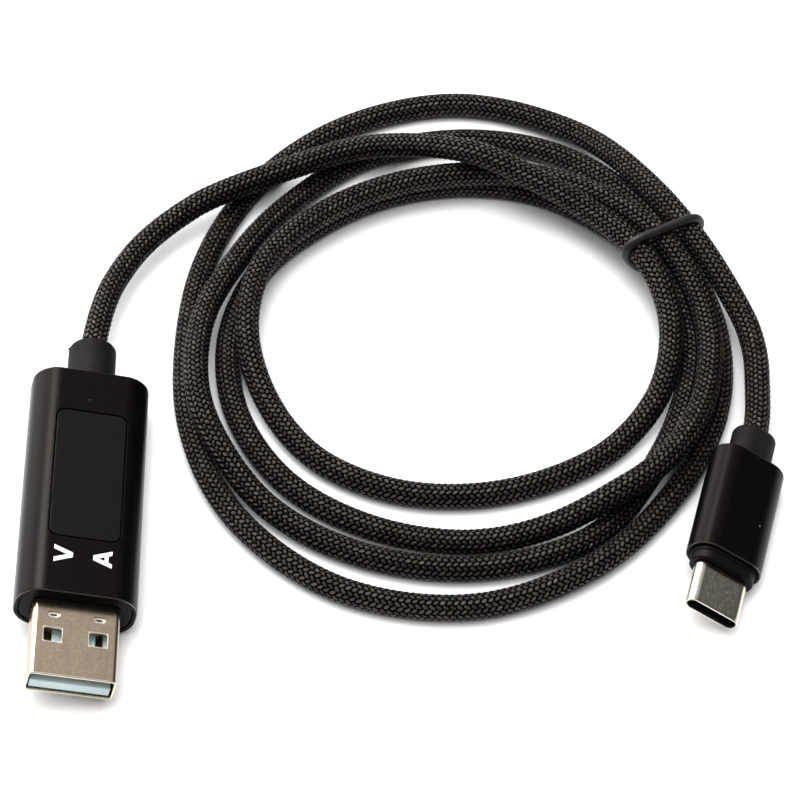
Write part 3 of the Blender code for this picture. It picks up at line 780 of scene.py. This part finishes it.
SHELL_WIDTH, SHELL_DEPTH, SHELL_SHEET, SHELL_TIP, SHELL_END = 12.0, 4.5, 0.3, -28.7, -9.5
SHELL_CORNER, SHELL_EDGE, TIP_ROUND, TIP_FLARE, FLARE_LENGTH = 0.75, 0.14, 0.16, 0.05, 0.14
LATCH_HOLE_X, LATCH_HOLE_Y, LATCH_HOLE_SIZE, LATCH_HOLE_CORNER = 3.1, -22.3, (2.5, 2.2), 0.35
PRESSED_OVAL_Y, PRESSED_OVAL_SIZE, PRESSED_OVAL_CORNER, PRESSED_DEPTH = -19.1, (1.7, 0.95), 0.47, 0.16
SLIT_SIZE, SLIT_CORNER, SLIT_DEPTH, BEYOND = (0.9, 0.26), 0.12, 1.2, 5.0


def plated_nickel():
    """The rims of the punched holes and ovals and the tip are painted lighter, a painted highlight along
    these edges, and the flats keep a fine grain.
    """
    look = Recipe("plated_nickel", metallic=1.0, specular_tint=(1.0, 0.98, 0.95))
    grain = look.noise(2600, 3.0)
    drawn = look.noise(1300, stretch=(1.0, 0.12, 1.0)).between(0.25, 0.75)
    mottle = look.noise(420, 3.0).between(0.3, 0.7)
    across, along = look.measured(METER, (1, 0, 0)), look.measured(METER, (0, 1, 0))
    beside, before = abs(abs(across) - LATCH_HOLE_X), abs(along - LATCH_HOLE_Y)
    from_hole = look.larger(beside - LATCH_HOLE_SIZE[0] / 2, before - LATCH_HOLE_SIZE[1] / 2)
    off_oval = (beside * 2 / PRESSED_OVAL_SIZE[0]) ** 2 + (
        (along - PRESSED_OVAL_Y) * 2 / PRESSED_OVAL_SIZE[1]) ** 2
    # The lighter, rougher nickel round the holes, the pressed ovals and the tip is painted highlight along
    # their edges.
    rims = look.larger(1 - from_hole.between(0.05, 0.12), 0.8 * (1 - off_oval.between(0.9, 1.2)))
    painted_edge_highlight = look.larger(rims, 1 - along.between(SHELL_TIP + 0.12, SHELL_TIP + 0.22))
    tone = 0.25 * drawn + 0.25 * mottle + 0.5 * grain.between(0.3, 0.7)
    base = look.blend(tone, (0.385, 0.308, 0.230), (0.50, 0.41, 0.31))
    look.set(base_color=look.blend(painted_edge_highlight, base, (0.78, 0.73, 0.64)),
             roughness=0.2 + 0.08 * grain + 0.2 * painted_edge_highlight)
    look.bump(grain, 0.0015)
    return look.made


outer = (SHELL_WIDTH, SHELL_DEPTH, SHELL_CORNER)
hollow = inset(outer, SHELL_SHEET)
a_shell = lofted("plug_shell_a", METER, (
    *rolled_edge(*outer, SHELL_TIP, TIP_ROUND, steps=3),
    (*outer, SHELL_END),
    (*hollow, SHELL_END),
    (*hollow, SHELL_TIP + FLARE_LENGTH),
    (*inset(hollow, -TIP_FLARE), SHELL_TIP),
), ring=True, steps=8)
cutters = []
for side in (-1, 1):
    here = METER @ Matrix.Translation((side * LATCH_HOLE_X, 0, 0))
    cutters.append(upright(*LATCH_HOLE_SIZE, LATCH_HOLE_CORNER, -BEYOND, BEYOND, LATCH_HOLE_Y, here))
    for face in (-1, 1):
        for size, corner, depth in ((PRESSED_OVAL_SIZE, PRESSED_OVAL_CORNER, PRESSED_DEPTH),
                                    (SLIT_SIZE, SLIT_CORNER, SLIT_DEPTH)):
            low, high = sorted((face * BEYOND, face * (SHELL_DEPTH / 2 - depth)))
            cutters.append(upright(*size, corner, low, high, PRESSED_OVAL_Y, here))
cut(a_shell, *cutters)
edged(a_shell, SHELL_EDGE, 4, 50)
finish(a_shell, plated_nickel(), ("usb_a_shell",))


# ------------------------------------------------------------------ USB-A tongue and contacts
# A pale blue moulded block fills the back of the shell, and its tongue runs forward along the lower half.
# Four gilt strips lie on the tongue, the outer two longer than the inner two, each with its tip bent down.

CONTACT_X, CONTACT_WIDTH, CONTACT_SHEET = (-3.5, -1.0, 1.0, 3.5), 1.0, 0.22
TONGUE_TIP, TONGUE_STEP, BLOCK_BACK = SHELL_TIP + 0.3, -17.0, -10.0
TONGUE_HALF, BLOCK_HALF, TONGUE_TOP = 5.5, 1.75, 0.0
OUTER_SETBACK, INNER_SETBACK = 1.9, 2.9


def side_profile(name, outline, half_width, place, x=0.0, round_by=0.12):
    """An outline in the YZ plane, pushed across X, with its edges rounded."""
    shape = bmesh.new()
    rows = []
    for side in (-1, 1):
        rows.append([shape.verts.new(place @ Vector((x + side * half_width, y, z))) for y, z in outline])
        shape.faces.new(rows[-1])
    for i in range(len(outline)):
        j = (i + 1) % len(outline)
        shape.faces.new((rows[0][i], rows[0][j], rows[1][j], rows[1][i]))
    return edged(piece_of(name, shape, 30), round_by, 3, 30)


def pale_blue_moulding():
    look = Recipe("pale_blue_moulding", specular_ior_level=0.5)
    cloud = look.noise(260).between(0.3, 0.7)
    speck = look.noise(1100, 2.0).between(0.66, 0.76)
    colour = look.blend(cloud, (0.52, 0.64, 0.65), (0.60, 0.71, 0.72))
    look.set(base_color=look.blend(speck * 0.35, colour, (0.20, 0.26, 0.27)),
             roughness=0.3 + 0.12 * cloud)
    look.bump(look.noise(1500), 0.01)
    return look.made


def gold_flash_painted_dark():
    look = Recipe("gold_flash_painted_dark", metallic=1.0)
    wiped = look.noise(900, stretch=(1.0, 0.1, 1.0)).between(0.3, 0.7)
    # The gilt is far darker than gold: painted shade, since the contacts lie deep in the shells where little
    # light reaches.
    look.set(base_color=look.blend(wiped, (0.24, 0.165, 0.075), (0.36, 0.26, 0.12)),
             roughness=0.24 + 0.12 * wiped)
    look.bump(wiped, 0.004)
    return look.made


tongue = side_profile("plug_tongue_a", (
    (TONGUE_TIP, -BLOCK_HALF), (BLOCK_BACK, -BLOCK_HALF), (BLOCK_BACK, BLOCK_HALF),
    (TONGUE_STEP, BLOCK_HALF), (TONGUE_STEP, TONGUE_TOP), (TONGUE_TIP, TONGUE_TOP)),
    TONGUE_HALF, METER, round_by=0.2)
finish(tongue, pale_blue_moulding(), ("usb_a_insulator",))
GOLD_FLASH_PAINTED_DARK = gold_flash_painted_dark()
for number, x in enumerate(CONTACT_X, 1):
    tip = TONGUE_TIP + (OUTER_SETBACK if number in (1, 4) else INNER_SETBACK)
    back, low = TONGUE_STEP - 0.1, TONGUE_TOP + 0.02
    top = low + CONTACT_SHEET
    strip = side_profile(f"plug_contact_a{number}", (
        (tip, low), (tip + 0.25, low), (back, low), (back, top), (tip + 0.6, top), (tip + 0.15, top - 0.12)),
        CONTACT_WIDTH / 2, METER, x, 0.03)
    finish(strip, GOLD_FLASH_PAINTED_DARK, (f"usb_a_contact_{number}",))


# ------------------------------------------------------------------ meter's strain relief
# Soft dark grey moulding, 6.9 mm across, that comes out of the sleeve's rear and grips the cord. Its outer
# end is rounded, and a nib of flash is left where the mould's halves met.

CORD_BORE, MOUTH_BEVEL, FLANGE_THICKNESS = 4.15, 0.15, 1.8
RELIEF_SIZE, RELIEF_FLANGE, RELIEF_LIP = (6.9, 6.9, 3.45), (11.0, 6.5, 2.4), 0.45
RELIEF_FLOOR, RELIEF_START = 25.0, SLEEVE_REAR - 1.5
NIB_RADIUS, NIB_SUNK, NIB_SETBACK, NIB_UP = 0.22, 0.02, 0.6, 0.5


def soft_grey_moulding():
    look = Recipe("soft_grey_moulding", specular_ior_level=0.14, specular_tint=(1.0, 0.9, 0.9))
    texture = look.noise(1900, 3.0)
    cloud = look.noise(240).between(0.3, 0.7)
    look.set(base_color=look.blend(cloud, (0.0042, 0.0034, 0.0034), (0.0066, 0.0056, 0.0056)),
             roughness=0.58 + 0.14 * texture)
    look.bump(texture, 0.02)
    return look.made


SOFT_GREY = soft_grey_moulding()


def strain_relief(name, place, size, lip, flange, floor, start, end, replaced):
    """A tube with a flange held inside the sleeve. The cord enters a bore in its outer end."""
    bore = (CORD_BORE, CORD_BORE, CORD_BORE / 2)
    piece = lofted(name, place, (
        (*bore, floor),
        (*bore, end - MOUTH_BEVEL),
        (*inset(bore, -MOUTH_BEVEL), end),
        *rolled_edge(*size, end, lip, -1, 6)[::-1],
        (*size, start),
        (*flange, start),
        (*flange, start - FLANGE_THICKNESS),
    ), steps=16)
    return finish(piece, SOFT_GREY, (replaced,))


strain_relief("meter_strain_relief", METER, RELIEF_SIZE, RELIEF_LIP, RELIEF_FLANGE,
              RELIEF_FLOOR, RELIEF_START, RELIEF_END, "strain_relief_a")
shape = bmesh.new()
nib_place = Matrix.Translation((NIB_SUNK - RELIEF_SIZE[0] / 2, RELIEF_END - NIB_SETBACK, NIB_UP))
bmesh.ops.create_icosphere(shape, subdivisions=3, radius=NIB_RADIUS, matrix=nib_place)
shape.transform(METER)
finish(piece_of("mould_nib", shape), SOFT_GREY)


# ------------------------------------------------------------------ electronics inside the meter
# A small glass fibre board carries the digit module above and the chips below, and four wires join it to
# the cord. They keep their plain shapes, since the sleeve covers them, and take the finish of their kind.

def plain_finish(name, first, second, roughness, scale, depth, metallic=0.0):
    look = Recipe(name, metallic=metallic)
    patches = look.noise(scale).between(0.3, 0.7)
    look.set(base_color=look.blend(patches, first, second), roughness=roughness + 0.1 * patches)
    look.bump(look.noise(scale * 3), depth)
    return look.made


BOARD = plain_finish("solder_mask", (0.010, 0.10, 0.045), (0.016, 0.15, 0.07), 0.3, 500, 0.01)
CHIP = plain_finish("chip_package", (0.012, 0.012, 0.013), (0.022, 0.022, 0.024), 0.5, 1200, 0.01)
CERAMIC = plain_finish("fired_ceramic", (0.36, 0.28, 0.19), (0.46, 0.37, 0.26), 0.35, 900, 0.006)
JACKET = plain_finish("wire_jacket", (0.09, 0.015, 0.012), (0.14, 0.025, 0.02), 0.4, 700, 0.01)
NODE_FINISHES = {
    BOARD: ("meter_board", "usb_c_board"),
    CHIP: ("display_module", "controller_chip", "regulator_chip", "usb_c_resistor"),
    CERAMIC: ("shunt_resistor", "filter_capacitor", "output_capacitor"),
    JACKET: [f"meter_wire_{number}" for number in range(1, 5)] + ["usb_c_wire_1", "usb_c_wire_2"],
    MOULDED_BLACK: ("usb_c_insulator",),
    GOLD_FLASH_PAINTED_DARK: ("usb_c_contacts_upper", "usb_c_contacts_lower"),
}
for look, names in NODE_FINISHES.items():
    for name in names:
        for slot in nodes[name].material_slots:
            slot.material = look


# ------------------------------------------------------------------ USB-C plug
# The same black anodised finish on an oval sleeve, with a raised black nose that the steel shell comes out
# of. The shell is a drawn oval tube, 8.25 by 2.4 mm, with blasted flats, bright sides and a groove behind its
# rolled lip.

PLUG_SIZE, PLUG_WALL, PLUG_EDGE = (11.3, 6.4, 3.2), 0.5, 0.06
PLUG_FRONT, PLUG_REAR, PLUG_FRONT_ROUND, PLUG_REAR_ROUND = 1.8, 19.6, 0.16, 0.3
C_NOSE_TIP, C_NOSE_FOOT, C_NOSE_HOLE = (9.7, 4.8, 2.4), (10.1, 5.2, 2.6), (8.5, 2.65, 1.32)
C_NOSE_STEP, C_NOSE_BACK, C_NOSE_ROUND = 1.3, 5.0, 0.22
C_SHELL_SIZE, C_SHELL_SHEET, C_SHELL_TIP, C_SHELL_END = (8.25, 2.4, 1.2), 0.25, -6.65, 6.0
C_TIP_ROUND, C_TIP_FLARE, FLAT_HALF = 0.14, 0.04, (C_SHELL_SIZE[0] - C_SHELL_SIZE[1]) / 2
GROOVE_DEPTH, GROOVE_STEPS = 0.04, (0.36, 0.42, 0.5, 0.56)
LINER_WALL, LINER_GAP, LINER_SETBACK, LINER_BACK = 0.12, 0.01, 0.3, -1.4
C_RELIEF_SIZE, C_RELIEF_FLANGE, C_RELIEF_LIP = (6.5, 5.3, 2.65), (9.4, 4.6, 2.3), 0.6
C_RELIEF_FLOOR, C_RELIEF_START, C_RELIEF_END = 21.8, PLUG_REAR - 0.9, 24.8


def speckled_steel():
    """The two flats are blasted and the round sides are left bright."""
    look = Recipe("speckled_steel", metallic=1.0)
    flat = 1 - abs(look.measured(PLUG, (1, 0, 0))).between(0.7 * FLAT_HALF, FLAT_HALF)
    speckle = look.noise(2600, 2.5).between(0.32, 0.68)
    blasted = look.blend(speckle, (0.74, 0.65, 0.57), (1.0, 0.92, 0.82))
    look.set(base_color=look.blend(flat, (0.66, 0.61, 0.53), blasted),
             roughness=0.24 - 0.1 * flat * (1 - speckle))
    look.bump(speckle * flat, 0.0015)
    return look.made


hollow = inset(PLUG_SIZE, PLUG_WALL)
c_sleeve = lofted("plug_sleeve_c", PLUG, (
    *rolled_edge(*PLUG_SIZE, PLUG_FRONT, PLUG_FRONT_ROUND),
    *rolled_edge(*PLUG_SIZE, PLUG_REAR, PLUG_REAR_ROUND, -1),
    (*hollow, PLUG_REAR),
    (*hollow, PLUG_FRONT),
), ring=True, steps=20)
edged(c_sleeve, PLUG_EDGE, 2, 50)
finish(c_sleeve, black_anodising("black_anodising_plug", PLUG, PLUG_FRONT),
       ("usb_c_sleeve",))

c_nose = lofted("plug_nose_c", PLUG, (
    *rolled_edge(*C_NOSE_TIP, 0.0, C_NOSE_ROUND, steps=4),
    (*C_NOSE_TIP, C_NOSE_STEP),
    (*C_NOSE_FOOT, C_NOSE_STEP + 0.05),
    (*C_NOSE_FOOT, C_NOSE_BACK),
    (*C_NOSE_HOLE, C_NOSE_BACK),
    (*C_NOSE_HOLE, 0.0),
), ring=True, steps=16)
finish(c_nose, MOULDED_BLACK, ("usb_c_nose",))

outer, groove = C_SHELL_SIZE, inset(C_SHELL_SIZE, GROOVE_DEPTH)
hollow = inset(outer, C_SHELL_SHEET)
c_shell = lofted("plug_shell_c", PLUG, (
    *rolled_edge(*outer, C_SHELL_TIP, C_TIP_ROUND, steps=4),
    *((*size, C_SHELL_TIP + step) for size, step in zip((outer, groove, groove, outer), GROOVE_STEPS)),
    (*outer, C_SHELL_END),
    (*hollow, C_SHELL_END),
    (*hollow, C_SHELL_TIP + 3 * C_TIP_FLARE),
    (*hollow, C_SHELL_TIP + C_TIP_FLARE),
    (*inset(hollow, -C_TIP_FLARE), C_SHELL_TIP),
), ring=True, steps=16)
finish(c_shell, speckled_steel(), ("usb_c_shell",))

outer = inset(hollow, LINER_GAP)
hollow = inset(outer, LINER_WALL)
c_liner = lofted("plug_liner_c", PLUG, (
    (*outer, C_SHELL_TIP + LINER_SETBACK),
    (*outer, LINER_BACK),
    (*hollow, LINER_BACK),
    (*hollow, C_SHELL_TIP + LINER_SETBACK + 0.04),
), ring=True, steps=10)
finish(c_liner, MOULDED_BLACK)

c_relief = strain_relief("plug_strain_relief", PLUG, C_RELIEF_SIZE, C_RELIEF_LIP, C_RELIEF_FLANGE,
                         C_RELIEF_FLOOR, C_RELIEF_START, C_RELIEF_END, "strain_relief_c")


# ------------------------------------------------------------------ the pieces on the cord
# It leaves the meter's strain relief, lies coiled on the table and ends in the USB-C plug. The pieces that
# sit on it are gathered in a list.

on_the_cord = [tie, c_sleeve, c_nose, c_shell, c_liner, c_relief]
on_the_cord += [nodes[name] for name in ("usb_c_insulator", "usb_c_contacts_upper", "usb_c_contacts_lower",
                                         "usb_c_board", "usb_c_resistor", "usb_c_wire_1", "usb_c_wire_2")]
